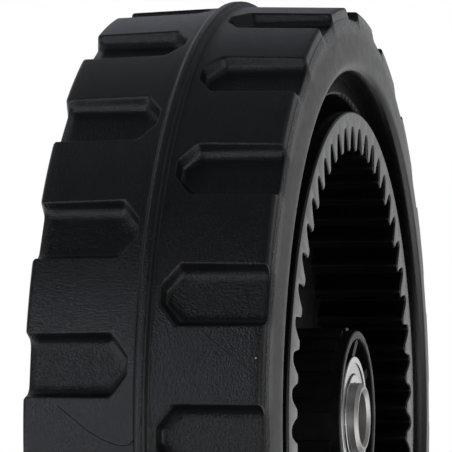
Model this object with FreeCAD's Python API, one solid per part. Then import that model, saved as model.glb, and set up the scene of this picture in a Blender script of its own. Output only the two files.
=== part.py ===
import FreeCAD, Part
import math
import os

from FreeCAD import Vector

# Lawn mower drive wheel: a moulded tyre on a one-piece wheel body, an internal drive gear seated in the
# body, and two shielded ball bearings that run on an axle sleeve.
# Millimetres. The origin is the wheel's centre, the axle runs along Y and +Z is up.
# The gear side, which faces the mower, looks towards -Y. Turn angles go from +X towards +Z, in degrees.

# Tyre
overall_diameter = 203.2  # over the centre ridge, a nominal 8 inch wheel
tyre_width = 56.8  # over the bead corners, before they are rounded
tyre_height = 18.1  # from the rim's seat to the ridge
ridge_height = 1.4
ridge_width = 3.3
ridge_top_width = 2.0
ridge_top_round = 0.8
ridge_foot_round = 0.5
crown_drop = 0.8  # fall of the lug surface from the ridge to the shoulder
shoulder_round = 0.8
outer_shoulder_inset = 1.55  # from the bead's corner plane in to the shoulder of the outer side
gear_shoulder_inset = 2.1  # the same on the gear side, which is bevelled
gear_bevel_height = 4.4  # radial
gear_bevel_inset = 1.25  # from the bead's corner plane in to the bevel's lower edge
gear_bevel_round = 3.0
bead_rise = 0.6  # the bead's corner stands this much above the rim seat
bead_round = 2.5
bond_film = 0.05  # adhesive between rim and tyre

# Tread pockets, the same on both halves and staggered by half a pitch
pockets_per_half = 20
pocket_phase = 172.5  # turn angle of the first pocket on the outer half
pocket_depth = 3.6
pocket_floor_width = 10.2
pocket_draft = 29.0  # slope of the pocket's long walls, degrees
pocket_tip_place = 4.25  # from the tyre's middle to the end of the floor
pocket_tip_width = 1.6  # blunt end of the floor
pocket_tip_length = 4.6  # length of the tapered end of the floor
pocket_mouth_tip_place = 3.35  # the same three at the pocket's mouth, which is blunter than its floor
pocket_mouth_tip_width = 4.0
pocket_mouth_tip_length = 3.6
pocket_corner_round = 1.4
pocket_floor_round = 1.1
pocket_end_inset = 1.8  # from the bead's corner plane in to the edge where the floor falls to the side wall
pocket_end_slope = 14.0  # of that fall, from the wheel's plane, degrees
pocket_end_height = 5.0

# Drive gear
gear_module = 2.54  # 10 teeth per inch of pitch diameter
gear_phase = 1.5  # turn angle of the first tooth
pressure_angle = 20.0
gear_dedendum_factor = 1.25  # depth below the pitch circle, in modules
tooth_tip_round = 0.55  # radial depth of the rounded tooth tip
tooth_root_round = 0.5  # radial depth of the rounded tooth root
gear_wall = 3.8  # least thickness from the root circle to the gear's outer wall
gear_length = 22.75
gear_edge_round = 0.6
gear_key_count = 6
gear_key_width = 9.0
gear_key_height = 1.9

# Wheel body
groove_width = 4.1  # between the gear's outer wall and the rim
rim_wall = 5.0
rim_width = 46.0
rim_face_fall = 1.0  # the rim's gear-side face falls this much from its inner edge to the tyre
rim_edge_round = 0.8
rim_key_width = 10.0  # raised band that locks the tyre sideways
rim_key_height = 2.5
web_gear_face = 4.0  # the web's gear-side face lies this far towards the gear side
web_thickness = 5.0
web_round = 2.0
gear_socket_depth = 6.0
gear_seat_clearance = 0.05
spoke_count = 10
spoke_thickness = 2.6
spoke_height_at_hub = 17.0
spoke_height_at_rim = 14.0

# Hub
hub_length = 54.3
hub_wall = 2.05
hub_edge_round = 0.4
hub_rib_count = 8
hub_rib_phase = -9.5
hub_rib_thickness = 2.6
hub_rib_fall = 1.0  # the ribs' ends fall this much from the hub's wall to the bearing
hub_rib_height = 4.15  # from the bearing to the hub's inner wall
hub_shoulder = 1.8  # each rib reaches this far inside the bearing's outer race
flute_count = 20
flute_height = 0.6
flute_width = 3.3
flute_inset = 2.7  # the flutes start this far behind the hub's face

# Axle sleeve
bore_diameter = 12.7  # half inch axle
sleeve_wall = 2.15
sleeve_proud = 1.5  # beyond the hub's face at each end
sleeve_chamfer = 0.8
bore_chamfer = 0.75
sleeve_shoulder = 1.5  # step that spaces the inner races
sleeve_fit = 0.01  # radial, inner race on sleeve

# Ball bearings, 17 x 30 x 7
bearing_diameter = 30.0
bearing_width = 7.0
bearing_inset = 0.75  # behind the hub's face
bearing_seat_fit = 0.01  # radial, outer race in the hub ribs
ball_diameter = 3.969
ball_count = 9
ball_clearance = 0.05
race_gap = 2.3  # between the shoulders of the two races
race_edge_round = 0.3
shield_thickness = 0.35
shield_recess = 0.25
shield_seat = 0.5  # width of the shield's ledge in the outer race
shield_gap = 0.25  # between the shield and the inner race
shield_dish = 0.15
cage_thickness = 0.4
cage_width = 1.4
cage_pocket_clearance = 0.1
rivet_diameter = 0.7
rivet_head_diameter = 1.3
rivet_head_height = 0.3
rivet_fit = 0.01

# Extra length of cutting bodies past the faces that they cut, and of ribs into the walls that carry them
cut_margin = 2.0
root_overlap = 0.5

# Places that follow from the sizes above
ridge_radius = overall_diameter / 2
lug_radius = ridge_radius - ridge_height
shoulder_radius = lug_radius - crown_drop
half_tyre = tyre_width / 2
rim_outer_radius = ridge_radius - tyre_height
rim_inner_radius = rim_outer_radius - rim_wall
gear_outer_radius = rim_inner_radius - groove_width
# As many whole teeth as fit inside the gear's wall, which is 53 on this wheel
gear_teeth = int(2 * ((gear_outer_radius - gear_wall) / gear_module - gear_dedendum_factor))
pitch_radius = gear_module * gear_teeth / 2
tip_radius = pitch_radius - gear_module
root_radius = pitch_radius + gear_dedendum_factor * gear_module
half_rim = rim_width / 2
web_gear_y = -web_gear_face
web_outer_y = web_gear_y + web_thickness
gear_face_y = web_gear_y - gear_length
socket_y = web_gear_y - gear_socket_depth
half_hub = hub_length / 2
bearing_radius = bearing_diameter / 2
hub_inner_radius = bearing_radius + hub_rib_height
hub_outer_radius = hub_inner_radius + hub_wall
bore_radius = bore_diameter / 2
sleeve_radius = bore_radius + sleeve_wall
half_sleeve = half_hub + sleeve_proud
bearing_face_y = half_hub - bearing_inset
bearing_back_y = bearing_face_y - bearing_width
bearing_centre_y = bearing_face_y - bearing_width / 2
ball_radius = ball_diameter / 2
ball_path_radius = (sleeve_radius + bearing_radius) / 2
inner_shoulder_radius = ball_path_radius - race_gap / 2
outer_shoulder_radius = ball_path_radius + race_gap / 2
shield_rim_radius = outer_shoulder_radius + shield_seat

origin = Vector(0, 0, 0)
axle = Vector(0, 1, 0)
turn_axis = Vector(0, -1, 0)  # turning about this axis carries +X towards +Z


def turned(shape, angle):
    """The shape turned about the axle."""
    return shape.rotated(origin, turn_axis, angle)


def ring_of(shape, count, phase):
    """Copies of the shape, evenly spaced about the axle."""
    return [turned(shape, phase + 360 * k / count) for k in range(count)]


def moved(shape, y):
    """The shape moved along the axle."""
    return shape.translated(Vector(0, y, 0))


def polar(radius, angle):
    """A point at this radius and turn angle in radians, on the plane y = 0."""
    return Vector(radius * math.cos(angle), 0, radius * math.sin(angle))


def rounded_wire(corners):
    """A closed outline through (radius, y, round) corners, with an arc of that round at each corner."""
    points = [Vector(radius, y, 0) for radius, y, _ in corners]
    ends = []
    for k, (_, _, corner_round) in enumerate(corners):
        point = points[k]
        if corner_round == 0:
            ends.append((point, None, point))
            continue
        back = (points[k - 1] - point).normalize()
        on = (points[(k + 1) % len(points)] - point).normalize()
        half_angle = back.getAngle(on) / 2
        reach = corner_round / math.tan(half_angle)
        middle = (back + on).normalize() * (corner_round / math.sin(half_angle) - corner_round)
        ends.append((point + back * reach, point + middle, point + on * reach))
    edges = []
    for k, (entry, middle, leave) in enumerate(ends):
        if middle is not None:
            edges.append(Part.Arc(entry, middle, leave).toShape())
        following = ends[(k + 1) % len(ends)][0]
        if leave.distanceToPoint(following) > 1e-6:
            edges.append(Part.LineSegment(leave, following).toShape())
    return Part.Wire(edges)


def lathe(corners):
    """The solid that the outline sweeps when it turns about the axle."""
    return Part.Face(rounded_wire(corners)).revolve(origin, axle, 360)


def tube(inner_radius, outer_radius, y_start, y_end):
    """A plain ring about the axle."""
    return lathe([
        (inner_radius, y_start, 0),
        (outer_radius, y_start, 0),
        (outer_radius, y_end, 0),
        (inner_radius, y_end, 0),
    ])


def radial_plate(corners, thickness):
    """A flat plate in the plane of the axle, from (radius, y) corners, centred on the turn angle 0."""
    wire = rounded_wire([(radius, y, 0) for radius, y in corners])
    plate = Part.Face(wire).extrude(Vector(0, 0, thickness))
    return plate.translated(Vector(0, 0, -thickness / 2))


def pocket_outline(radius, floor_radius):
    """The pencil-shaped outline of a tread pocket's walls at this radius, from its floor to its mouth."""
    rise = radius - floor_radius

    def between(floor_size, mouth_size):
        return floor_size + (mouth_size - floor_size) * rise / pocket_depth

    tip_y = between(pocket_tip_place, pocket_mouth_tip_place)
    tip_z = between(pocket_tip_width, pocket_mouth_tip_width) / 2
    corner_y = tip_y + between(pocket_tip_length, pocket_mouth_tip_length)
    side_z = pocket_floor_width / 2 + rise * math.tan(math.radians(pocket_draft))
    end_y = half_tyre + cut_margin
    half = [(end_y, side_z), (corner_y, side_z), (tip_y, tip_z)]
    other_half = [(y, -z) for y, z in reversed(half)]
    return [Vector(radius, y, z) for y, z in half + other_half]


def pocket_cutter():
    """The body that cuts one tread pocket of the outer half, at the turn angle 0."""
    floor_radius = lug_radius - pocket_depth
    top_radius = ridge_radius + cut_margin
    loops = [pocket_outline(radius, floor_radius) for radius in (floor_radius, top_radius)]
    wires = [Part.makePolygon(loop + loop[:1]) for loop in loops]
    block = Part.makeLoft(wires, True, True)
    walls = [edge for edge in block.Edges if is_wall_edge(edge)]
    block = block.makeFillet(pocket_corner_round, walls)
    floor_edges = [edge for edge in block.Edges if is_floor_edge(edge, floor_radius)]
    block = block.makeFillet(pocket_floor_round, floor_edges)
    return block.fuse(pocket_end(floor_radius))


def pocket_end(floor_radius):
    """The wedge that lets the pocket's floor fall to the side wall."""
    start_y = half_tyre - pocket_end_inset
    low_radius = floor_radius - pocket_end_height
    low_y = start_y + pocket_end_height * math.tan(math.radians(pocket_end_slope))
    end_y = half_tyre + cut_margin
    return radial_plate([
        (floor_radius + pocket_floor_round, start_y),
        (floor_radius + pocket_floor_round, end_y),
        (low_radius, end_y),
        (low_radius, low_y),
        (floor_radius, start_y),
    ], pocket_floor_width - pocket_floor_round)


def is_wall_edge(edge):
    """Whether the edge stands between two walls at the tapered end of a pocket."""
    box = edge.BoundBox
    return box.XLength > pocket_depth and box.YMax < half_tyre


def is_floor_edge(edge, floor_radius):
    """Whether the edge lies on the pocket's floor, apart from the open end."""
    box = edge.BoundBox
    return box.XMax < floor_radius + root_overlap and box.YMin < half_tyre


def make_tyre():
    """The tyre, with its centre ridge, staggered tread pockets and a groove for the rim's key."""
    seat_radius = rim_outer_radius + bond_film
    half_key = rim_key_width / 2 + bond_film
    outer_shoulder = [(shoulder_radius, half_tyre - outer_shoulder_inset, shoulder_round)]
    gear_shoulder = [
        (shoulder_radius, half_tyre - gear_shoulder_inset, shoulder_round),
        (shoulder_radius - gear_bevel_height, half_tyre - gear_bevel_inset, gear_bevel_round),
    ]
    ridge = [
        (ridge_radius, ridge_top_width / 2, ridge_top_round),
        (lug_radius, ridge_width / 2, ridge_foot_round),
    ]
    bead = [
        (seat_radius + bead_rise, half_tyre, bead_round),
        (seat_radius, half_rim, 0),
        (seat_radius, half_key, 0),
        (seat_radius + rim_key_height, half_key, 0),
    ]
    gear_half = reversed(ridge + gear_shoulder + bead)
    gear_side = [(radius, -y, corner_round) for radius, y, corner_round in gear_half]
    cutter = pocket_cutter()
    gear_side_cutter = cutter.mirror(origin, axle)
    stagger = 180 / pockets_per_half
    cutters = ring_of(cutter, pockets_per_half, pocket_phase)
    cutters += ring_of(gear_side_cutter, pockets_per_half, pocket_phase + stagger)
    return lathe(ridge + outer_shoulder + bead + gear_side).cut(cutters)


def half_tooth(radius):
    """Half the angle, in radians, that an involute tooth of the internal gear fills at this radius."""
    pressure = math.radians(pressure_angle)
    slope = math.acos(pitch_radius * math.cos(pressure) / radius)
    involute_at_pitch = math.tan(pressure) - pressure
    involute_here = math.tan(slope) - slope
    return math.pi / (2 * gear_teeth) - involute_at_pitch + involute_here


def tooth_edges(centre):
    """The outline of one tooth, from the middle of one root to the middle of the next."""
    pitch = 2 * math.pi / gear_teeth
    low = root_radius - tooth_root_round
    high = tip_radius + tooth_tip_round

    def flank(side, radius):
        return polar(radius, centre + side * half_tooth(radius))

    runs = [
        (flank(-1, low), flank(-1, pitch_radius), flank(-1, high)),
        (flank(-1, high), polar(tip_radius, centre), flank(1, high)),
        (flank(1, high), flank(1, pitch_radius), flank(1, low)),
        (flank(1, low), polar(root_radius, centre + pitch / 2), polar(low, centre + pitch - half_tooth(low))),
    ]
    return [Part.Arc(*run).toShape() for run in runs]


def gear_keys(growth):
    """The drive keys on the gear's outer wall, grown by a clearance for the slots that take them."""
    key = Part.makeBox(
        gear_key_height + root_overlap + growth,
        gear_socket_depth,
        gear_key_width + 2 * growth,
        Vector(gear_outer_radius - root_overlap, socket_y, -gear_key_width / 2 - growth),
    )
    return ring_of(key, gear_key_count, 0)


def make_ring_gear():
    """The internal drive gear, a moulded ring with rounded involute teeth and drive keys at its back."""
    blank = lathe([
        (tip_radius - cut_margin, gear_face_y, 0),
        (gear_outer_radius, gear_face_y, gear_edge_round),
        (gear_outer_radius, web_gear_y, 0),
        (tip_radius - cut_margin, web_gear_y, 0),
    ]).fuse(gear_keys(0)).removeSplitter()
    edges = []
    for k in range(gear_teeth):
        edges += tooth_edges(math.radians(gear_phase + 360 * k / gear_teeth))
    space = Part.Face(Part.Wire(edges)).extrude(Vector(0, gear_length + 2 * cut_margin, 0))
    return blank.cut(moved(space, gear_face_y - cut_margin))


def hub_ribs():
    """Radial ribs inside the hub: their outer ends grip the bearings and their middles space them."""
    inner_radius = bearing_radius - hub_shoulder
    grip_radius = bearing_radius + bearing_seat_fit
    wall_radius = hub_inner_radius + root_overlap
    rib = radial_plate([
        (inner_radius, -bearing_back_y),
        (grip_radius, -bearing_back_y),
        (grip_radius, hub_rib_fall - bearing_face_y),
        (wall_radius, -bearing_face_y),
        (wall_radius, bearing_face_y),
        (grip_radius, bearing_face_y - hub_rib_fall),
        (grip_radius, bearing_back_y),
        (inner_radius, bearing_back_y),
    ], hub_rib_thickness)
    return ring_of(rib, hub_rib_count, hub_rib_phase)


def hub_flutes():
    """Axial flutes round the hub on the gear side, from behind its face to the web."""
    flute = radial_plate([
        (hub_outer_radius - root_overlap, -half_hub + flute_inset),
        (hub_outer_radius + flute_height, -half_hub + flute_inset),
        (hub_outer_radius + flute_height, web_gear_y + root_overlap),
        (hub_outer_radius - root_overlap, web_gear_y + root_overlap),
    ], flute_width)
    return ring_of(flute, flute_count, 0)


def spokes():
    """Stiffening ribs on the outer side of the web, from the hub to the rim."""
    spoke = radial_plate([
        (hub_outer_radius - root_overlap, web_outer_y - root_overlap),
        (rim_inner_radius + root_overlap, web_outer_y - root_overlap),
        (rim_inner_radius + root_overlap, web_outer_y + spoke_height_at_rim),
        (hub_outer_radius - root_overlap, web_outer_y + spoke_height_at_hub),
    ], spoke_thickness)
    return ring_of(spoke, spoke_count, 0)


def make_wheel_body():
    """The one-piece moulding: hub, web, gear socket and rim, with its ribs, flutes and spokes.

    A diaphragm carries the web on through the hub, between its ribs.
    """
    socket_radius = gear_outer_radius + gear_seat_clearance
    half_key = rim_key_width / 2
    key_radius = rim_outer_radius + rim_key_height
    body = lathe([
        (hub_inner_radius, -half_hub, hub_edge_round),
        (hub_outer_radius, -half_hub, hub_edge_round),
        (hub_outer_radius, web_gear_y, web_round),
        (socket_radius, web_gear_y, 0),
        (socket_radius, socket_y, 0),
        (rim_inner_radius, socket_y, 0),
        (rim_inner_radius, -half_rim, rim_edge_round),
        (rim_outer_radius, -half_rim + rim_face_fall, 0),
        (rim_outer_radius, -half_key, 0),
        (key_radius, -half_key, 0),
        (key_radius, half_key, 0),
        (rim_outer_radius, half_key, 0),
        (rim_outer_radius, half_rim, 0),
        (rim_inner_radius, half_rim, rim_edge_round),
        (rim_inner_radius, web_outer_y, web_round),
        (hub_outer_radius, web_outer_y, web_round),
        (hub_outer_radius, half_hub, hub_edge_round),
        (hub_inner_radius, half_hub, hub_edge_round),
    ])
    diaphragm = tube(
        bearing_radius - hub_shoulder, hub_inner_radius + root_overlap, web_gear_y, web_outer_y
    )
    body = body.fuse([diaphragm] + hub_ribs() + hub_flutes() + spokes()).removeSplitter()
    return body.cut(gear_keys(gear_seat_clearance))


def make_axle_sleeve():
    """The sleeve on the axle, stepped in its middle to space the inner races."""
    shoulder_radius = sleeve_radius + sleeve_shoulder
    half_profile = [
        (bore_radius + bore_chamfer, half_sleeve, 0),
        (sleeve_radius - sleeve_chamfer, half_sleeve, 0),
        (sleeve_radius, half_sleeve - sleeve_chamfer, 0),
        (sleeve_radius, bearing_back_y, 0),
        (shoulder_radius, bearing_back_y, 0),
    ]
    mirrored = [(radius, -y, corner_round) for radius, y, corner_round in reversed(half_profile)]
    bore = [(bore_radius, -half_sleeve + bore_chamfer, 0), (bore_radius, half_sleeve - bore_chamfer, 0)]
    return lathe(half_profile + mirrored + bore)


def ball_groove():
    """The ring that cuts the ball track into both races."""
    return Part.makeTorus(ball_path_radius, ball_radius + ball_clearance, origin, axle)


def make_outer_race():
    """The outer race, with a ball track and a ledge at each face for a shield."""
    half_width = bearing_width / 2
    ledge_y = half_width - shield_recess - shield_thickness
    half_profile = [
        (bearing_radius, half_width, race_edge_round),
        (shield_rim_radius, half_width, 0),
        (shield_rim_radius, ledge_y, 0),
        (outer_shoulder_radius, ledge_y, 0),
    ]
    mirrored = [(radius, -y, corner_round) for radius, y, corner_round in reversed(half_profile)]
    return lathe(half_profile + mirrored).cut(ball_groove())


def make_inner_race():
    """The inner race, with its ball track."""
    half_width = bearing_width / 2
    bore = sleeve_radius + sleeve_fit
    half_profile = [
        (bore, half_width, race_edge_round),
        (inner_shoulder_radius, half_width, race_edge_round),
    ]
    mirrored = [(radius, -y, corner_round) for radius, y, corner_round in reversed(half_profile)]
    return lathe(half_profile + mirrored).cut(ball_groove())


def make_shield():
    """One shield, pressed on the ledge of the outer race and dished towards its inner edge."""
    outer_y = bearing_width / 2 - shield_recess
    inner_radius = inner_shoulder_radius + shield_gap
    rim_radius = shield_rim_radius - bearing_seat_fit
    return lathe([
        (inner_radius, outer_y - shield_dish, 0),
        (outer_shoulder_radius, outer_y, 0),
        (rim_radius, outer_y, 0),
        (rim_radius, outer_y - shield_thickness, 0),
        (outer_shoulder_radius, outer_y - shield_thickness, 0),
        (inner_radius, outer_y - shield_dish - shield_thickness, 0),
    ])


def make_balls():
    """The balls of one bearing."""
    ball = Part.makeSphere(ball_radius, Vector(ball_path_radius, 0, 0))
    return Part.makeCompound(ring_of(ball, ball_count, 0))


def make_cage_half():
    """One half of the ribbon cage: cups over the balls, joined by flats that the rivets hold."""
    inner_radius = ball_path_radius - cage_width / 2
    outer_radius = ball_path_radius + cage_width / 2
    cup_inner = ball_radius + cage_pocket_clearance
    cup_outer = cup_inner + cage_thickness
    centre = Vector(ball_path_radius, 0, 0)
    band = tube(inner_radius, outer_radius, 0, cup_outer + cage_thickness)
    flat = tube(inner_radius, outer_radius, 0, cage_thickness)
    cups = [cup.common(band) for cup in ring_of(Part.makeSphere(cup_outer, centre), ball_count, 0)]
    spaces = ring_of(Part.makeSphere(cup_inner, centre), ball_count, 0)
    half = flat.fuse(cups).removeSplitter().cut(spaces)
    hole = Part.makeCylinder(rivet_diameter / 2 + rivet_fit, bearing_width, centre, axle)
    return half.cut(ring_of(hole, ball_count, 180 / ball_count))


def make_cage_rivets():
    """The rivets between the balls, with a low head on each side of the cage."""
    shank_radius = rivet_diameter / 2
    head_radius = rivet_head_diameter / 2
    head_y = cage_thickness + rivet_head_height
    rivet = lathe([
        (0, -head_y, 0),
        (head_radius, -head_y, rivet_head_height / 2),
        (head_radius, -cage_thickness, 0),
        (shank_radius, -cage_thickness, 0),
        (shank_radius, cage_thickness, 0),
        (head_radius, cage_thickness, 0),
        (head_radius, head_y, rivet_head_height / 2),
        (0, head_y, 0),
    ])
    rivet = rivet.translated(Vector(ball_path_radius, 0, 0))
    return Part.makeCompound(ring_of(rivet, ball_count, 180 / ball_count))


def make_bearing(side, y):
    """The pieces of one bearing, centred at this place on the axle."""
    cage_half = make_cage_half()
    shield = make_shield()
    pieces = {
        "outer_race": make_outer_race(),
        "inner_race": make_inner_race(),
        "balls": make_balls(),
        "cage_gear_half": cage_half.mirror(origin, axle),
        "cage_outer_half": cage_half,
        "cage_rivets": make_cage_rivets(),
        "shield_gear_face": shield.mirror(origin, axle),
        "shield_outer_face": shield,
    }
    return {f"{side}_{name}": moved(shape, y) for name, shape in pieces.items()}


def make_wheel():
    """Every piece of the wheel by name."""
    pieces = {
        "tyre": make_tyre(),
        "wheel_body": make_wheel_body(),
        "ring_gear": make_ring_gear(),
        "axle_sleeve": make_axle_sleeve(),
    }
    pieces.update(make_bearing("gear_side", -bearing_centre_y))
    pieces.update(make_bearing("outer_side", bearing_centre_y))
    return pieces


os.makedirs("parts", exist_ok=True)
for name, shape in make_wheel().items():
    shape.exportStep(f"parts/{name}.step")
    print(name, "valid", shape.isValid(), "solids", len(shape.Solids), "volume", round(shape.Volume, 1))
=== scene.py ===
import math

import bmesh
import bpy
import numpy as np
from mathutils import Matrix, Vector


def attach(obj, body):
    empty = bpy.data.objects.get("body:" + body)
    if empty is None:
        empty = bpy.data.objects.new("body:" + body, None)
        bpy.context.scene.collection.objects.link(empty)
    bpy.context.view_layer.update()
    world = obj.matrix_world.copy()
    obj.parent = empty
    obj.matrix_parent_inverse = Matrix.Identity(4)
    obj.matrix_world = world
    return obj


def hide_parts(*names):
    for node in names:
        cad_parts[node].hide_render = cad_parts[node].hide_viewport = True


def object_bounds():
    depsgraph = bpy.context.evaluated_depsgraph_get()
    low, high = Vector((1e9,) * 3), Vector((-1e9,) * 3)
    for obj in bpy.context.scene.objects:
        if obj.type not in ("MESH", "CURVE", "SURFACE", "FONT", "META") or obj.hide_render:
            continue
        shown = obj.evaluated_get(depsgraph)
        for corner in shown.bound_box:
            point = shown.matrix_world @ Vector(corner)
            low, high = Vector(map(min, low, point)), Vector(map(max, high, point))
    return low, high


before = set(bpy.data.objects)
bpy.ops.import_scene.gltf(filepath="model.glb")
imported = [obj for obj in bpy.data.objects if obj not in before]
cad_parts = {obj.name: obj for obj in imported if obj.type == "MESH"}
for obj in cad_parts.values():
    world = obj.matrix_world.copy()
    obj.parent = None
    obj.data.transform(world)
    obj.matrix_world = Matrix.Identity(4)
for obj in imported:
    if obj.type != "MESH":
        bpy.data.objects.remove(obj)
cad_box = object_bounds()

# Sizes in millimetres, the same as in the solid model. The axle runs along Y and the gear side faces -Y.
MM = 0.001
RIDGE_RADIUS = 101.6
RIDGE_HEIGHT = 1.4
RIDGE_WIDTH = 3.3
RIDGE_TOP_WIDTH = 2.0
RIDGE_TOP_ROUND = 0.8
RIDGE_FOOT_ROUND = 0.5
LUG_RADIUS = RIDGE_RADIUS - RIDGE_HEIGHT
CROWN_DROP = 0.8
HALF_TYRE = 28.4
SHOULDER_ROUND = 0.8
OUTER_SHOULDER_INSET = 1.55
GEAR_SHOULDER_INSET = 2.1
GEAR_BEVEL_HEIGHT = 4.4
GEAR_BEVEL_INSET = 1.25
GEAR_BEVEL_ROUND = 3.0
RIM_RADIUS = 83.5
HALF_RIM = 23.0
BEAD_RISE = 0.6
BEAD_ROUND = 2.5
BOND_FILM = 0.05
KEY_HEIGHT = 2.5
HALF_KEY = 5.0

# Tread pockets
POCKETS = 20
POCKET_PHASE = 172.5
POCKET_DEPTH = 3.6
POCKET_DRAFT = 29.0
POCKET_CORNER_ROUND = 1.4
OUTER_POCKET_END_INSET = 2.1
GEAR_POCKET_END_INSET = 1.8
POCKET_END_SLOPE = 14.0
POCKET_FLOOR_ROUND = 2.6
POCKET_TIP_FLOOR_ROUND = 1.3
POCKET_EDGE_BLEND = 1.2
POCKET_DRAFT_START = 5.1
POCKET_MOUTH_HALF = POCKET_DRAFT_START + POCKET_DEPTH * math.tan(math.radians(POCKET_DRAFT))
# Outlines of a pocket's floor and mouth: half width, start and end of the taper, and half width at its end
POCKET_FLOOR = (6.1, 7.9, 3.8, 1.45)
POCKET_MOUTH = (POCKET_MOUTH_HALF, 6.95, 3.35, 2.0)

# Mesh of the tread: columns as shares of the pocket's floor, of its wall and of the lug beside it
FLOOR_COLUMNS = (0, 0.55, 0.68, 0.79, 0.89)
WALL_COLUMNS = (0.0, 0.15, 0.3, 0.5, 0.75, 1.0, 1.2, 1.45)
LUG_COLUMNS = (0, 1 / 3, 2 / 3, 1)
LUG_COLUMN_MARGIN = 1.2
# How far the close rows at the pocket's tip reach before its mouth and into its floor, and past its taper
TIP_MARGINS = (0.9, 0.8)
TAPER_MARGIN = 0.6

# Drive gear
GEAR_MODULE = 2.54
GEAR_TEETH = 53
GEAR_PHASE = 1.5
PRESSURE_ANGLE = 20.0
PITCH_RADIUS = GEAR_MODULE * GEAR_TEETH / 2
TIP_RADIUS = PITCH_RADIUS - GEAR_MODULE
ROOT_RADIUS = PITCH_RADIUS + 1.25 * GEAR_MODULE
TOOTH_TIP_ROUND = 0.55
TOOTH_ROOT_ROUND = 0.5
GEAR_OUTER_RADIUS = 74.4
GEAR_FACE = -26.75
GEAR_BACK = -4.0
GEAR_EDGE_ROUND = 0.6
TOOTH_FRONT_ROUND = 0.55
GEAR_KEYS = 6
GEAR_KEY_WIDTH = 9.0
GEAR_KEY_HEIGHT = 1.9
GEAR_KEY_FRONT = -10.0
GEAR_KEY_SINK = 0.5
FIRST_FLANK_ROW = 4.0

# Marks on the tread, as turn angle in degrees and y
HAIR = ((177.6, 18.8), (179.0, 15.7), (180.5, 12.4), (181.7, 8.9), (182.5, 5.0), (182.4, 2.6), (181.8, 1.7))
SCUFFS = (((168.1, -12.6), (173.1, -23.9)), ((157.0, -8.9), (152.7, -19.3)))

# Camera at the photograph's viewpoint, in metres and radians, with the picture 452 pixels wide
PICTURE = 452
CAMERA_PLACE = (-0.79311, -0.19097, 0.01449)
CAMERA_YAW = 0.24344
CAMERA_PITCH = 0.04426
CAMERA_ROLL = -0.00058
FOCAL_PIXELS = 3330.2
CENTRE_PIXEL = (225.44, 210.81)
SENSOR = 36.0
CLIP_START = 0.05

# Studio light: brightness round the wheel, in degrees from the front horizon, upwards as plus
ARCH_LIGHT = (
    (-180, 0.12), (-160, 0.1), (-145, 0.05), (-90, 0.02), (-24, 0.03), (-19, 1.5), (-14, 2.0), (-9, 0.7),
    (-4, 0.14), (8, 0.13), (16, 0.19), (23, 0.13), (40, 0.075), (50, 0.07), (60, 0.065), (82, 0.15), (98, 0.18),
    (108, 0.1), (122, 0.15), (135, 0.34), (150, 0.46), (165, 0.24), (180, 0.08),
)
COOL_WHITE = (0.915, 0.95, 1.065, 1)
WHITE = (1, 1, 1, 1)
AMBIENT = 0.015
# Soft patches of light: direction, wide and narrow angle, strength
WINDOW_LIGHT = ((-0.87, 0.42, 0.25), 15, 5, 2.3)
BACK_LIGHT = ((0.976, -0.216, 0.0), 20, 12, 0.54)
# The first three fill the photograph's own view, which hardly reflects the others
SIDE_LIGHTS = (
    ((0.25, 0.97, 0.05), 60, 25, 0.17),
    ((-0.05, -1.0, 0.05), 60, 20, 0.09),
    ((0.95, -0.27, -0.16), 20, 8, 0.25),
    ((-0.66, -0.74, -0.15), 33, 16, 0.75),
    ((-0.1, -0.5, 0.86), 30, 12, 0.2),
    ((0.6, 0.75, -0.25), 45, 20, 0.4),
    ((0.1, 0.8, 0.58), 35, 15, 0.2),
    ((0.85, 0.25, -0.46), 36, 15, 0.35),
    ((0.5, -0.75, -0.42), 25, 10, 0.9),
    ((0.05, -0.88, -0.47), 27, 12, 1.0),
    ((0.05, 0.88, -0.47), 27, 12, 1.0),
    ((-0.62, 0.7, -0.36), 24, 10, 0.8),
)
FLOOR_RADIUS = 1.4
FLOOR_SIDES = 96
FLOOR_GLOW = 0.42

# Where the finish or the painted shade changes, in metres: distance from the middle plane or from the axle at
# the start and the end
TREAD_EDGE = (0.0270, 0.0274)
BEVEL_EDGE = (0.0258, 0.0266)
# Inside this radius the pocket floors get painted shade: a far darker colour than the lugs
POCKET_FLOOR_EDGE = (0.0968, 0.0971)
RIM_FACE = (0.0205, 0.0210)
# Painted shade on the rim's recessed face: its reflection is turned down between these two radii
SHADED_RIM_RING = (0.0789, 0.0833)
RING_FADE = 0.0003
TREAD_GRAIN = 1.25e-4


def smooth_min(a, b, blend):
    """The smaller of two fields, with a rounded change-over."""
    share = np.maximum(blend - np.abs(a - b), 0) / blend
    return np.minimum(a, b) - share * share * blend / 4


def arc_corner(before, corner, after, corner_round, steps):
    """Points of the arc that rounds a corner of an outline."""
    before, corner, after = (np.array(point, float) for point in (before, corner, after))
    back = (before - corner) / np.linalg.norm(before - corner)
    on = (after - corner) / np.linalg.norm(after - corner)
    half_angle = math.acos(float(back @ on)) / 2
    middle = (back + on) / np.linalg.norm(back + on)
    centre = corner + middle * corner_round / math.sin(half_angle)
    first = corner + back * corner_round / math.tan(half_angle) - centre
    last = corner + on * corner_round / math.tan(half_angle) - centre
    sweep = math.pi - 2 * half_angle
    shares = np.linspace(0, 1, steps)
    spread = [math.sin((1 - t) * sweep) * first + math.sin(t * sweep) * last for t in shares]
    return [tuple(centre + offset / math.sin(sweep)) for offset in spread]


def run(start, end, steps):
    """Points on a straight stretch, without its two ends."""
    shares = np.linspace(0, 1, steps + 2)[1:-1]
    return [(start[0] + (end[0] - start[0]) * t, start[1] + (end[1] - start[1]) * t) for t in shares]


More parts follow.
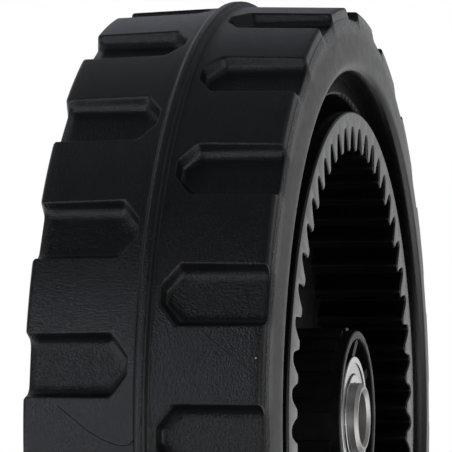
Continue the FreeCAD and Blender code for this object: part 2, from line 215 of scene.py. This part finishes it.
def half_section(side):
    """Half of the tyre's outline as (radius, y) rows, from the ridge's top down to the key groove.

    The outer half has the side 1 and the gear half, whose shoulder is bevelled, has the side -1.
    Each row also says how far its columns are gathered round the tread pockets, from 0 to 1.
    """
    top = (RIDGE_RADIUS, 0.0)
    ridge_edge = (RIDGE_RADIUS, RIDGE_TOP_WIDTH / 2)
    ridge_foot = (LUG_RADIUS, RIDGE_WIDTH / 2)
    shoulder_inset = OUTER_SHOULDER_INSET if side > 0 else GEAR_SHOULDER_INSET
    shoulder = (LUG_RADIUS - CROWN_DROP, HALF_TYRE - shoulder_inset)
    bevel = (shoulder[0] - GEAR_BEVEL_HEIGHT, HALF_TYRE - GEAR_BEVEL_INSET)
    seat_radius = RIM_RADIUS + BOND_FILM
    bead = (seat_radius + BEAD_RISE, HALF_TYRE)
    seat = (seat_radius, HALF_RIM)
    groove_foot = (seat_radius, HALF_KEY + BOND_FILM)
    groove_top = (seat_radius + KEY_HEIGHT, HALF_KEY + BOND_FILM)
    groove_middle = (seat_radius + KEY_HEIGHT, 0.0)

    ridge = [top] + arc_corner(top, ridge_edge, ridge_foot, RIDGE_TOP_ROUND, 6)
    ridge += arc_corner(ridge_edge, ridge_foot, shoulder, RIDGE_FOOT_ROUND, 4)
    shoulder_arc = arc_corner(ridge_foot, shoulder, bead if side > 0 else bevel, SHOULDER_ROUND, 6)
    bead_arc = arc_corner(shoulder if side > 0 else bevel, bead, seat, BEAD_ROUND, 8)
    slope = CROWN_DROP / (shoulder[1] - ridge_foot[1])
    tip_start = POCKET_MOUTH[2] - TIP_MARGINS[0]
    tip_end = POCKET_FLOOR[2] + TIP_MARGINS[1]
    taper_end = POCKET_FLOOR[1] + TAPER_MARGIN
    stations = np.concatenate([
        np.linspace(ridge[-1][1], tip_start, 3)[1:-1],
        np.linspace(tip_start, tip_end, 12),
        np.linspace(tip_end, taper_end, 11)[1:],
        np.linspace(taper_end, shoulder_arc[0][1], 9)[1:-1],
    ])
    lug = [(LUG_RADIUS - slope * (y - ridge_foot[1]), y) for y in stations]
    if side > 0:
        wall = run(shoulder_arc[-1], bead_arc[0], 10)
    else:
        bevel_arc = arc_corner(shoulder, bevel, bead, GEAR_BEVEL_ROUND, 4)
        wall = run(shoulder_arc[-1], bevel_arc[0], 5) + bevel_arc + run(bevel_arc[-1], bead_arc[0], 4)
    outline = ridge + lug + shoulder_arc + wall + bead_arc
    ridge_end = ridge[-1][1]
    gathered = [max(0.0, min(1.0, (y - ridge_end) / (tip_start - ridge_end))) for _, y in outline]
    hidden = [seat] + run(seat, groove_foot, 2) + [groove_foot, groove_top, groove_middle]
    return outline + hidden, gathered + [0.0] * len(hidden)


def segment_distance(y, u, start, end):
    """Distance from points to a straight stretch."""
    along = np.array(end) - np.array(start)
    share = ((y - start[0]) * along[0] + (u - start[1]) * along[1]) / float(along @ along)
    share = np.clip(share, 0, 1)
    return np.hypot(y - start[0] - share * along[0], u - start[1] - share * along[1])


def outline_distance(y, u, outline):
    """Signed distance from the rounded outline of a pocket, negative inside it."""
    half, corner_y, tip_y, tip_half = outline
    taper = math.atan2(half - tip_half, corner_y - tip_y)
    half -= POCKET_CORNER_ROUND
    corner_y += POCKET_CORNER_ROUND * math.tan(taper / 2)
    tip_y += POCKET_CORNER_ROUND
    tip_half -= POCKET_CORNER_ROUND * math.tan((math.pi / 2 - taper) / 2)
    u = np.abs(u)
    far_y = 2 * HALF_TYRE
    inside = np.maximum.reduce([
        u - half,
        (corner_y - y) * math.sin(taper) + (u - half) * math.cos(taper),
        tip_y - y,
    ])
    outside = np.minimum.reduce([
        segment_distance(y, u, (corner_y, half), (far_y, half)),
        segment_distance(y, u, (tip_y, tip_half), (corner_y, half)),
        segment_distance(y, u, (tip_y, 0), (tip_y, tip_half)),
    ])
    return np.where(inside < 0, inside, outside) - POCKET_CORNER_ROUND


def pocket_wall(y, u):
    """Height of a pocket's walls above its floor, with a round at the foot, going on upwards past the mouth."""
    floor = outline_distance(y, u, POCKET_FLOOR)
    mouth = outline_distance(y, u, POCKET_MOUTH)
    slope = POCKET_DEPTH / (floor - mouth)
    lean = np.arctan(slope)
    share = np.clip((y - POCKET_FLOOR[2]) / (POCKET_FLOOR[1] - POCKET_FLOOR[2]), 0, 1)
    foot_round = POCKET_TIP_FLOOR_ROUND + (POCKET_FLOOR_ROUND - POCKET_TIP_FLOOR_ROUND) * share
    across = floor + foot_round * np.tan(lean / 2)
    arc_end = foot_round * np.sin(lean)
    arc = foot_round - np.sqrt(foot_round ** 2 - np.clip(across, 0, arc_end) ** 2)
    return np.where(across < arc_end, arc, slope * floor)


def width_at(y, outline):
    """Half width of a pocket's outline at this place along the taper."""
    half, corner_y, tip_y, tip_half = outline
    share = max(0.0, min(1.0, (y - tip_y) / (corner_y - tip_y)))
    return tip_half + (half - tip_half) * share


def gathered_columns(y):
    """Places of the mesh columns across half a pocket pitch, gathered at the pocket's wall."""
    floor_width = width_at(y, POCKET_FLOOR)
    mouth_width = width_at(y, POCKET_MOUTH)
    floor = [floor_width * f for f in FLOOR_COLUMNS]
    wall = [floor_width + (mouth_width - floor_width) * f for f in WALL_COLUMNS]
    half_pitch = LUG_RADIUS * math.pi / POCKETS
    lug_start = mouth_width + LUG_COLUMN_MARGIN
    lug = [lug_start + (half_pitch - lug_start) * f for f in LUG_COLUMNS]
    return floor + wall + lug


def column_angles(y, gathered):
    """Turn angles of the columns over one pitch, from the middle of a pocket to the middle of the next."""
    half = np.array(gathered_columns(y)) / LUG_RADIUS
    pitch = 2 * math.pi / POCKETS
    whole = np.concatenate([half, pitch - half[-2:0:-1]])
    even = np.arange(len(whole)) * pitch / len(whole)
    return even + (whole - even) * gathered


def tyre_rows():
    """Vertices of the tyre row by row, round its section and then round the axle."""
    pitch = 2 * math.pi / POCKETS
    outer_rows, outer_gathered = half_section(1)
    gear_rows, gear_gathered = half_section(-1)
    section = [(r, y, g, 1) for (r, y), g in zip(outer_rows, outer_gathered)]
    section += [(r, y, g, -1) for (r, y), g in reversed(list(zip(gear_rows, gear_gathered))[1:-1])]
    turns = np.arange(POCKETS) * pitch
    rows = []
    for radius, y, gathered, side in section:
        offsets = column_angles(y, gathered)
        if side > 0:
            pocket_turn = np.where(offsets > pitch / 2, offsets - pitch, offsets)
            end_inset = OUTER_POCKET_END_INSET
        else:
            middle = len(offsets) // 2
            offsets = np.concatenate([offsets[middle:] - pitch / 2, offsets[:middle] + pitch / 2])
            pocket_turn = offsets - pitch / 2
            end_inset = GEAR_POCKET_END_INSET
        fall = max(0.0, y - (HALF_TYRE - end_inset)) / math.tan(math.radians(POCKET_END_SLOPE))
        floor = (LUG_RADIUS - POCKET_DEPTH - fall) / np.cos(pocket_turn)
        wall = pocket_wall(np.full_like(offsets, y), radius * np.sin(pocket_turn))
        height = np.full_like(offsets, radius)
        if gathered > 0:
            height = smooth_min(height, floor + wall, POCKET_EDGE_BLEND)
        angle = (math.radians(POCKET_PHASE) + turns[:, None] + offsets[None, :]).ravel()
        height = np.tile(height, POCKETS)
        across = np.full_like(angle, side * y)
        rows.append(np.stack([height * np.cos(angle), across, height * np.sin(angle)], -1))
    return np.array(rows) * MM


def grid_mesh(name, rows, sharp=None, extra=None):
    """A closed mesh from rows of points, joined in both directions, with sharp edges above an angle."""
    count, columns = rows.shape[:2]
    index = np.arange(count * columns).reshape(count, columns)
    below = np.roll(index, -1, axis=0)
    quads = np.stack([index, np.roll(index, -1, axis=1), np.roll(below, -1, axis=1), below], -1)
    points, faces = rows.reshape(-1, 3).tolist(), quads.reshape(-1, 4).tolist()
    if extra is not None:
        extra(points, faces)
    mesh = bpy.data.meshes.new(name)
    mesh.from_pydata(points, [], faces)
    mesh.update()
    if sharp is None:
        mesh.shade_smooth()
    else:
        mesh.set_sharp_from_angle(angle=math.radians(sharp))
    piece = bpy.data.objects.new(name, mesh)
    bpy.context.scene.collection.objects.link(piece)
    return piece


def on_lug(turn, y):
    """A point of the lug surface at this turn angle in degrees, in metres."""
    fall = CROWN_DROP * (abs(y) - RIDGE_WIDTH / 2) / (HALF_TYRE - OUTER_SHOULDER_INSET - RIDGE_WIDTH / 2)
    radius, angle = LUG_RADIUS - fall, math.radians(turn)
    return Vector((radius * math.cos(angle), y, radius * math.sin(angle))) * MM


def hairline(name, marks, width, material):
    """A fine raised line on the lug surface through (turn angle, y) marks."""
    line = [on_lug(*marks[0])]
    for start, end in zip(marks, marks[1:]):
        line += [on_lug(*mark) for mark in run(start, end, 3)] + [on_lug(*end)]
    points, faces = [], []
    sides = 6
    for k, point in enumerate(line):
        along = (line[min(k + 1, len(line) - 1)] - line[max(k - 1, 0)]).normalized()
        out = Vector((point.x, 0, point.z)).normalized()
        across = along.cross(out)
        for j in range(sides):
            turn = 2 * math.pi * j / sides
            points.append(point + (across * math.cos(turn) + out * math.sin(turn)) * width * MM / 2)
    for k in range(len(line) - 1):
        for j in range(sides):
            a, b = k * sides + j, k * sides + (j + 1) % sides
            faces.append([a, b, b + sides, a + sides])
    faces += [list(range(sides))[::-1], list(range(len(points) - sides, len(points)))]
    add_mark(name, points, faces, material)


def speck(name, mark, width, material):
    """A grain of dust on the lug surface."""
    centre = on_lug(*mark)
    grain = bmesh.new()
    bmesh.ops.create_icosphere(grain, subdivisions=2, radius=width * MM / 2)
    points = [vertex.co + centre for vertex in grain.verts]
    faces = [[vertex.index for vertex in face.verts] for face in grain.faces]
    grain.free()
    add_mark(name, points, faces, material)


def add_mark(name, points, faces, material):
    """A small piece on the tyre."""
    mesh = bpy.data.meshes.new(name)
    mesh.from_pydata([tuple(point) for point in points], [], faces)
    mesh.shade_smooth()
    piece = bpy.data.objects.new(name, mesh)
    bpy.context.scene.collection.objects.link(piece)
    dress(piece, material)
    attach(piece, "wheel")


def half_tooth(radius):
    """Half the angle that an involute tooth of the internal gear fills at this radius."""
    pressure = math.radians(PRESSURE_ANGLE)
    slope = math.acos(PITCH_RADIUS * math.cos(pressure) / radius)
    return math.pi / (2 * GEAR_TEETH) - math.tan(pressure) + pressure + math.tan(slope) - slope


def arc_points(start, middle, end, steps):
    """Points on the arc through three points, without its end."""
    a, b, c = (complex(*point) for point in (start, middle, end))
    w = (c - a) / (b - a)
    centre = (b - a) * (w - abs(w) ** 2) / (2j * w.imag) + a
    first, last = a - centre, c - centre
    sweep = np.angle(last / first)
    turns = np.exp(1j * sweep * np.arange(steps) / steps)
    return [centre + first * turn for turn in turns]


def tooth_profile():
    """The gear's toothed outline as points round the axle, and the directions from them into the gear."""
    low = ROOT_RADIUS - TOOTH_ROOT_ROUND
    high = TIP_RADIUS + TOOTH_TIP_ROUND
    pitch = 2 * math.pi / GEAR_TEETH

    def place(radius, angle):
        return radius * math.cos(angle), radius * math.sin(angle)

    def flank(side, radius):
        return place(radius, side * half_tooth(radius))

    tooth = arc_points(flank(-1, low), flank(-1, PITCH_RADIUS), flank(-1, high), 6)
    tooth += arc_points(flank(-1, high), place(TIP_RADIUS, 0), flank(1, high), 7)
    tooth += arc_points(flank(1, high), flank(1, PITCH_RADIUS), flank(1, low), 6)
    tooth += arc_points(flank(1, low), place(ROOT_RADIUS, pitch / 2), place(low, pitch - half_tooth(low)), 6)
    turns = np.exp(1j * (math.radians(GEAR_PHASE) + pitch * np.arange(GEAR_TEETH)))
    outline = (turns[:, None] * np.array(tooth)[None, :]).ravel()
    along = np.roll(outline, -1) - np.roll(outline, 1)
    return outline, -1j * along / np.abs(along)


def edge_round(size):
    """Steps round an edge, from the face to the side: how far in from the side and how deep below the face."""
    steps = np.radians(np.linspace(0, 90, 6))
    return [(size * (1 - math.sin(a)), size * (1 - math.cos(a))) for a in steps]


def gear_rows():
    """Vertices of the gear row by row: rounded tooth fronts, flanks, back, outer wall and face."""
    outline, inward = tooth_profile()
    outer = outline / np.abs(outline)
    length = GEAR_BACK - GEAR_FACE
    rows = [(outline + inward * inset, depth) for inset, depth in edge_round(TOOTH_FRONT_ROUND)]
    rows += [(outline, FIRST_FLANK_ROW), (outline, length), (outer * GEAR_OUTER_RADIUS, length)]
    outer_edge = reversed(edge_round(GEAR_EDGE_ROUND))
    rows += [(outer * (GEAR_OUTER_RADIUS - inset), depth) for inset, depth in outer_edge]
    lines = [np.stack([line.real, np.full(len(line), GEAR_FACE + depth), line.imag], -1) for line, depth in rows]
    return np.array(lines) * MM


def add_keys(mesh_points, faces):
    """The drive keys at the back of the gear, as boxes."""
    half = GEAR_KEY_WIDTH / 2
    low, high = GEAR_OUTER_RADIUS - GEAR_KEY_SINK, GEAR_OUTER_RADIUS + GEAR_KEY_HEIGHT
    corners = [(r, y, z) for r in (low, high) for y in (GEAR_KEY_FRONT, GEAR_BACK) for z in (-half, half)]
    sides = ((0, 1, 3, 2), (4, 6, 7, 5), (0, 4, 5, 1), (2, 3, 7, 6), (0, 2, 6, 4), (1, 5, 7, 3))
    for k in range(GEAR_KEYS):
        turn = Matrix.Rotation(-2 * math.pi * k / GEAR_KEYS, 3, "Y")
        start = len(mesh_points)
        mesh_points += [tuple(turn @ Vector(corner) * MM) for corner in corners]
        faces += [[start + i for i in side] for side in sides]


def new_material(name, **sockets):
    """A material whose main shader has these constant values."""
    material = bpy.data.materials.new(name)
    material.use_nodes = True
    shader = material.node_tree.nodes["Principled BSDF"]
    for socket, value in sockets.items():
        shader.inputs[socket.replace("_", " ")].default_value = value
    return material, material.node_tree.nodes, material.node_tree.links, shader


def noise(nodes, links, scale, detail, source):
    """A noise field over the object's own coordinates."""
    node = nodes.new("ShaderNodeTexNoise")
    node.inputs["Scale"].default_value = scale
    node.inputs["Detail"].default_value = detail
    links.new(source, node.inputs["Vector"])
    return node.outputs["Fac"]


def mapped(nodes, links, source, low, high, start=0.0, end=1.0):
    """The field mapped from one range to another."""
    node = nodes.new("ShaderNodeMapRange")
    node.inputs["From Min"].default_value = start
    node.inputs["From Max"].default_value = end
    node.inputs["To Min"].default_value = low
    node.inputs["To Max"].default_value = high
    links.new(source, node.inputs["Value"])
    return node.outputs["Result"]


def ramp(nodes, links, source, low, high):
    """Colours between two ends."""
    node = nodes.new("ShaderNodeValToRGB")
    node.color_ramp.elements[0].color = (*low, 1)
    node.color_ramp.elements[1].color = (*high, 1)
    node.color_ramp.elements[0].position = 0.3
    node.color_ramp.elements[1].position = 0.7
    links.new(source, node.inputs["Fac"])
    return node.outputs["Color"]


def bump(nodes, links, height, distance, strength, normal=None):
    """A bump of this height in metres."""
    node = nodes.new("ShaderNodeBump")
    node.inputs["Distance"].default_value = distance
    node.inputs["Strength"].default_value = strength
    links.new(height, node.inputs["Height"])
    if normal is not None:
        links.new(normal, node.inputs["Normal"])
    return node.outputs["Normal"]


def object_coordinates(nodes):
    """The object's own coordinates."""
    return nodes.new("ShaderNodeTexCoord").outputs["Object"]


def axle_coordinates(nodes, links, place):
    """Distance from the axle, and distance from the tyre's middle plane."""
    split = nodes.new("ShaderNodeSeparateXYZ")
    links.new(place, split.inputs["Vector"])
    flat = nodes.new("ShaderNodeCombineXYZ")
    links.new(split.outputs["X"], flat.inputs["X"])
    links.new(split.outputs["Z"], flat.inputs["Z"])
    radius = nodes.new("ShaderNodeVectorMath")
    radius.operation = "LENGTH"
    links.new(flat.outputs["Vector"], radius.inputs[0])
    side = nodes.new("ShaderNodeMath")
    side.operation = "ABSOLUTE"
    links.new(split.outputs["Y"], side.inputs[0])
    return radius.outputs["Value"], side.outputs["Value"]


def combined(nodes, links, operation, first, second):
    """Two fields joined by a sum, a product or an angle; the second may be a number."""
    node = nodes.new("ShaderNodeMath")
    node.operation = operation
    links.new(first, node.inputs[0])
    if isinstance(second, float):
        node.inputs[1].default_value = second
    else:
        links.new(second, node.inputs[1])
    return node.outputs["Value"]


def blended(nodes, links, share, first, second):
    """Two colours mixed by a field."""
    node = nodes.new("ShaderNodeMix")
    node.data_type = "RGBA"
    links.new(share, node.inputs[0])
    links.new(first, node.inputs[6])
    links.new(second, node.inputs[7])
    return node.outputs[2]


def stretched(nodes, links, place, scale):
    """The coordinates stretched along the axes."""
    node = nodes.new("ShaderNodeMapping")
    node.inputs["Scale"].default_value = scale
    links.new(place, node.inputs["Vector"])
    return node.outputs["Vector"]


def tyre_rubber():
    """Black rubber: streaked grain on the lugs, leathery grain and painted shade in the pockets, and smooth side
    walls.
    """
    material, nodes, links, shader = new_material("tyre_rubber")
    place = object_coordinates(nodes)
    radius, side = axle_coordinates(nodes, links, place)
    tread = mapped(nodes, links, side, 1, 0, *TREAD_EDGE)
    deep = mapped(nodes, links, radius, 1, 0, *POCKET_FLOOR_EDGE)
    floor = combined(nodes, links, "MULTIPLY", deep, tread)
    tone = noise(nodes, links, 120, 5, place)
    # The pocket floors get a far darker colour than the lugs: painted shade in the recesses
    lug_tone = ramp(nodes, links, tone, (0.0095, 0.0098, 0.0109), (0.0134, 0.0137, 0.0151))
    floor_painted_shade = ramp(nodes, links, tone, (0.002, 0.0021, 0.0025), (0.0031, 0.0033, 0.0038))
    links.new(blended(nodes, links, floor, lug_tone, floor_painted_shade), shader.inputs["Base Color"])
    cloud = noise(nodes, links, 420, 4, place)
    rough = mapped(nodes, links, cloud, 0.2, 0.26, 0.3, 0.7)
    dull = mapped(nodes, links, tread, 0.12, 0.0)
    links.new(combined(nodes, links, "ADD", rough, dull), shader.inputs["Roughness"])
    streaks = noise(nodes, links, 3000, 2, stretched(nodes, links, place, (1, 0.8, 1)))
    leather = noise(nodes, links, 2300, 3, place)
    fine = combined(nodes, links, "MULTIPLY", streaks, mapped(nodes, links, side, 1, 0.2, *BEVEL_EDGE))
    coarse = combined(nodes, links, "MULTIPLY", leather, mapped(nodes, links, floor, 0.0, 0.8))
    height = combined(nodes, links, "ADD", fine, coarse)
    links.new(bump(nodes, links, height, TREAD_GRAIN, 1.0), shader.inputs["Normal"])
    return material


def plain_grained(name, dark, light, rough):
    """A dull grained finish for the small marks on the tread."""
    material, nodes, links, shader = new_material(name, Roughness=rough)
    place = object_coordinates(nodes)
    tone = noise(nodes, links, 3000, 3, place)
    links.new(ramp(nodes, links, tone, dark, light), shader.inputs["Base Color"])
    fine = noise(nodes, links, 6000, 2, place)
    links.new(bump(nodes, links, fine, 1e-5, 0.5), shader.inputs["Normal"])
    return material


def moulded_plastic(name, dark, light, rough, grain, rim_shade_ring=None):
    """Black moulded plastic with a fine grain, and painted shade between two distances from the axle on the
    rim's faces, where its reflection is turned down.
    """
    material, nodes, links, shader = new_material(name)
    place = object_coordinates(nodes)
    if rim_shade_ring:
        radius, side = axle_coordinates(nodes, links, place)
        beyond = mapped(nodes, links, radius, 0, 1, rim_shade_ring[0], rim_shade_ring[0] + RING_FADE)
        within = mapped(nodes, links, radius, 1, 0, rim_shade_ring[1] - RING_FADE, rim_shade_ring[1])
        ring = combined(nodes, links, "MULTIPLY", beyond, within)
        ring = combined(nodes, links, "MULTIPLY", ring, mapped(nodes, links, side, 0, 1, *RIM_FACE))
        # Painted shade: the reflection on the recessed rim face is turned down to darken it
        links.new(mapped(nodes, links, ring, 0.5, 0.06), shader.inputs["Specular IOR Level"])
    tone = noise(nodes, links, 90, 4, place)
    links.new(ramp(nodes, links, tone, dark, light), shader.inputs["Base Color"])
    cloud = noise(nodes, links, 260, 5, place)
    links.new(mapped(nodes, links, cloud, rough[0], rough[1], 0.3, 0.7), shader.inputs["Roughness"])
    fine = noise(nodes, links, 2600, 3, place)
    coarse = noise(nodes, links, 900, 2, place)
    first = bump(nodes, links, coarse, grain, 0.5)
    links.new(bump(nodes, links, fine, grain, 0.6, first), shader.inputs["Normal"])
    return material


def turned_steel(name, colour, rough):
    """Bright steel with fine marks round the axle."""
    material, nodes, links, shader = new_material(name, Metallic=1.0)
    place = object_coordinates(nodes)
    radius, side = axle_coordinates(nodes, links, place)
    rings = nodes.new("ShaderNodeCombineXYZ")
    links.new(radius, rings.inputs["X"])
    links.new(side, rings.inputs["Y"])
    marks = noise(nodes, links, 5000, 2, rings.outputs["Vector"])
    cloud = noise(nodes, links, 300, 3, place)
    tone = ramp(nodes, links, cloud, [c * 0.88 for c in colour], colour)
    links.new(tone, shader.inputs["Base Color"])
    links.new(mapped(nodes, links, marks, rough[0], rough[1], 0.3, 0.7), shader.inputs["Roughness"])
    links.new(bump(nodes, links, marks, 2e-6, 0.4), shader.inputs["Normal"])
    return material


def dress(piece, material):
    """Give a piece this one material."""
    piece.data.materials.clear()
    piece.data.materials.append(material)


def make_camera():
    """The camera at the photograph's viewpoint."""
    yaw, pitch = CAMERA_YAW, CAMERA_PITCH
    ahead = Vector((math.cos(pitch) * math.cos(yaw), math.cos(pitch) * math.sin(yaw), math.sin(pitch)))
    level = Vector((math.sin(yaw), -math.cos(yaw), 0))
    upright = level.cross(ahead)
    right = level * math.cos(CAMERA_ROLL) + upright * math.sin(CAMERA_ROLL)
    up = right.cross(ahead)
    data = bpy.data.cameras.new("camera")
    data.sensor_width = SENSOR
    data.lens = FOCAL_PIXELS * SENSOR / PICTURE
    data.shift_x = (PICTURE / 2 - CENTRE_PIXEL[0]) / PICTURE
    data.shift_y = (CENTRE_PIXEL[1] - PICTURE / 2) / PICTURE
    data.clip_start = CLIP_START
    camera = bpy.data.objects.new("camera", data)
    turn = Matrix((right, up, -ahead)).transposed().to_4x4()
    camera.matrix_world = Matrix.Translation(CAMERA_PLACE) @ turn
    bpy.context.scene.collection.objects.link(camera)
    bpy.context.scene.camera = camera


def glow_lobe(nodes, links, direction, axis, wide, narrow, strength):
    """A soft patch of light round a direction: nothing beyond the wide angle, full inside the narrow one."""
    facing = nodes.new("ShaderNodeVectorMath")
    facing.operation = "DOT_PRODUCT"
    facing.inputs[1].default_value = Vector(axis).normalized()
    links.new(direction, facing.inputs[0])
    lobe = nodes.new("ShaderNodeMapRange")
    lobe.interpolation_type = "SMOOTHSTEP"
    lobe.inputs["From Min"].default_value = math.cos(math.radians(wide))
    lobe.inputs["From Max"].default_value = math.cos(math.radians(narrow))
    lobe.inputs["To Max"].default_value = strength
    links.new(facing.outputs["Value"], lobe.inputs["Value"])
    return lobe.outputs["Result"]


def grey(strength):
    """A grey colour of this strength."""
    return strength, strength, strength, 1


def make_world():
    """A studio surround: bright low in front, dim overhead, soft patches at the sides and a white backdrop."""
    world = bpy.data.worlds.new("studio")
    bpy.context.scene.world = world
    world.use_nodes = True
    nodes, links = world.node_tree.nodes, world.node_tree.links
    nodes.clear()
    direction = nodes.new("ShaderNodeTexCoord").outputs["Generated"]
    split = nodes.new("ShaderNodeSeparateXYZ")
    links.new(direction, split.inputs["Vector"])
    back = combined(nodes, links, "MULTIPLY", split.outputs["X"], -1.0)
    lift = combined(nodes, links, "ARCTAN2", split.outputs["Z"], back)
    arch = nodes.new("ShaderNodeValToRGB")
    stops = arch.color_ramp.elements
    first, *between, last = ARCH_LIGHT
    stops[0].color, stops[-1].color = grey(first[1]), grey(last[1])
    for degrees, strength in between:
        stops.new((degrees + 180) / 360).color = grey(strength)
    links.new(mapped(nodes, links, lift, 0, 1, -math.pi, math.pi), arch.inputs["Fac"])
    rise = mapped(nodes, links, split.outputs["Y"], 0.45, 1.1, 0.1, 0.4)
    fall = mapped(nodes, links, split.outputs["Y"], 1.0, 0.4, 0.45, 0.75)
    left = combined(nodes, links, "MULTIPLY", rise, fall)
    over = combined(nodes, links, "MULTIPLY", arch.outputs["Color"], left)
    window = glow_lobe(nodes, links, direction, *WINDOW_LIGHT)
    over = combined(nodes, links, "ADD", over, window)
    cool = nodes.new("ShaderNodeBackground")
    cool.inputs["Color"].default_value = COOL_WHITE
    links.new(over, cool.inputs["Strength"])

    low = mapped(nodes, links, split.outputs["Z"], 1.0, 0.16, 0.12, 0.42)
    behind = glow_lobe(nodes, links, direction, *BACK_LIGHT)
    around = combined(nodes, links, "MULTIPLY", behind, low)
    for light in SIDE_LIGHTS:
        around = combined(nodes, links, "ADD", around, glow_lobe(nodes, links, direction, *light))
    plain = nodes.new("ShaderNodeBackground")
    plain.inputs["Color"].default_value = WHITE
    links.new(combined(nodes, links, "ADD", around, AMBIENT), plain.inputs["Strength"])
    glow = nodes.new("ShaderNodeAddShader")
    links.new(cool.outputs["Background"], glow.inputs[0])
    links.new(plain.outputs["Background"], glow.inputs[1])

    white = nodes.new("ShaderNodeBackground")
    white.inputs["Color"].default_value = WHITE
    path = nodes.new("ShaderNodeLightPath")
    mix = nodes.new("ShaderNodeMixShader")
    links.new(path.outputs["Is Camera Ray"], mix.inputs["Fac"])
    links.new(glow.outputs["Shader"], mix.inputs[1])
    links.new(white.outputs["Background"], mix.inputs[2])
    out = nodes.new("ShaderNodeOutputWorld")
    links.new(mix.outputs["Shader"], out.inputs["Surface"])


def make_floor():
    """A plain pale floor under the wheel."""
    low = cad_box[0][2]
    mesh = bpy.data.meshes.new("floor")
    angles = np.arange(FLOOR_SIDES) * 2 * math.pi / FLOOR_SIDES
    points = [(FLOOR_RADIUS * math.cos(a), FLOOR_RADIUS * math.sin(a), low) for a in angles]
    mesh.from_pydata(points, [], [list(range(FLOOR_SIDES))])
    floor = bpy.data.objects.new("floor", mesh)
    bpy.context.scene.collection.objects.link(floor)
    material, *_ = new_material(
        "floor_paper", Base_Color=(0.82, 0.82, 0.82, 1), Roughness=0.8, Emission_Color=WHITE,
        Emission_Strength=FLOOR_GLOW,
    )
    dress(floor, material)
    floor.visible_glossy = False
    floor.visible_diffuse = False
    floor.visible_shadow = False


rubber = tyre_rubber()
body_plastic = moulded_plastic(
    "body_plastic", (0.003, 0.003, 0.0033), (0.005, 0.005, 0.0055), (0.38, 0.5), 2e-5, SHADED_RIM_RING
)
gear_plastic = moulded_plastic(
    "gear_plastic", (0.003, 0.003, 0.003), (0.005, 0.005, 0.0049), (0.22, 0.3), 1.5e-5
)
race_steel = turned_steel("race_steel", (0.62, 0.62, 0.63), (0.14, 0.26))
shield_steel = turned_steel("shield_steel", (0.6, 0.6, 0.61), (0.2, 0.32))
sleeve_steel = turned_steel("sleeve_steel", (0.72, 0.7, 0.67), (0.36, 0.5))

tyre = grid_mesh("tyre_skin", tyre_rows())
dress(tyre, rubber)
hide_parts("tyre")
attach(tyre, "wheel")

gear = grid_mesh("gear_skin", gear_rows(), 50, add_keys)
dress(gear, gear_plastic)
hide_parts("ring_gear")
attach(gear, "wheel")

for name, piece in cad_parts.items():
    if name == "wheel_body":
        dress(piece, body_plastic)
    elif name == "axle_sleeve":
        dress(piece, sleeve_steel)
    elif name.endswith(("race", "balls")):
        dress(piece, race_steel)
    elif name not in ("tyre", "ring_gear"):
        dress(piece, shield_steel)

hair = plain_grained("hair", (0.001, 0.001, 0.001), (0.003, 0.003, 0.003), 0.6)
scuff = plain_grained("scuff", (0.006, 0.006, 0.007), (0.012, 0.012, 0.014), 0.5)
dust = plain_grained("dust", (0.35, 0.34, 0.32), (0.6, 0.59, 0.56), 0.8)
faint_dust = plain_grained("faint_dust", (0.05, 0.05, 0.05), (0.09, 0.09, 0.085), 0.8)
hairline("tread_hair", HAIR, 0.2, hair)
for number, ends in enumerate(SCUFFS):
    hairline(f"tread_scuff_{number + 1}", ends, 0.12, scuff)
speck("dust_1", (171.6, -25.1), 0.5, dust)
speck("dust_2", (172.6, -25.0), 0.3, faint_dust)
speck("dust_3", (182.2, 12.7), 0.34, faint_dust)

make_camera()
make_world()
make_floor()
bpy.context.scene.view_settings.view_transform = "Standard"
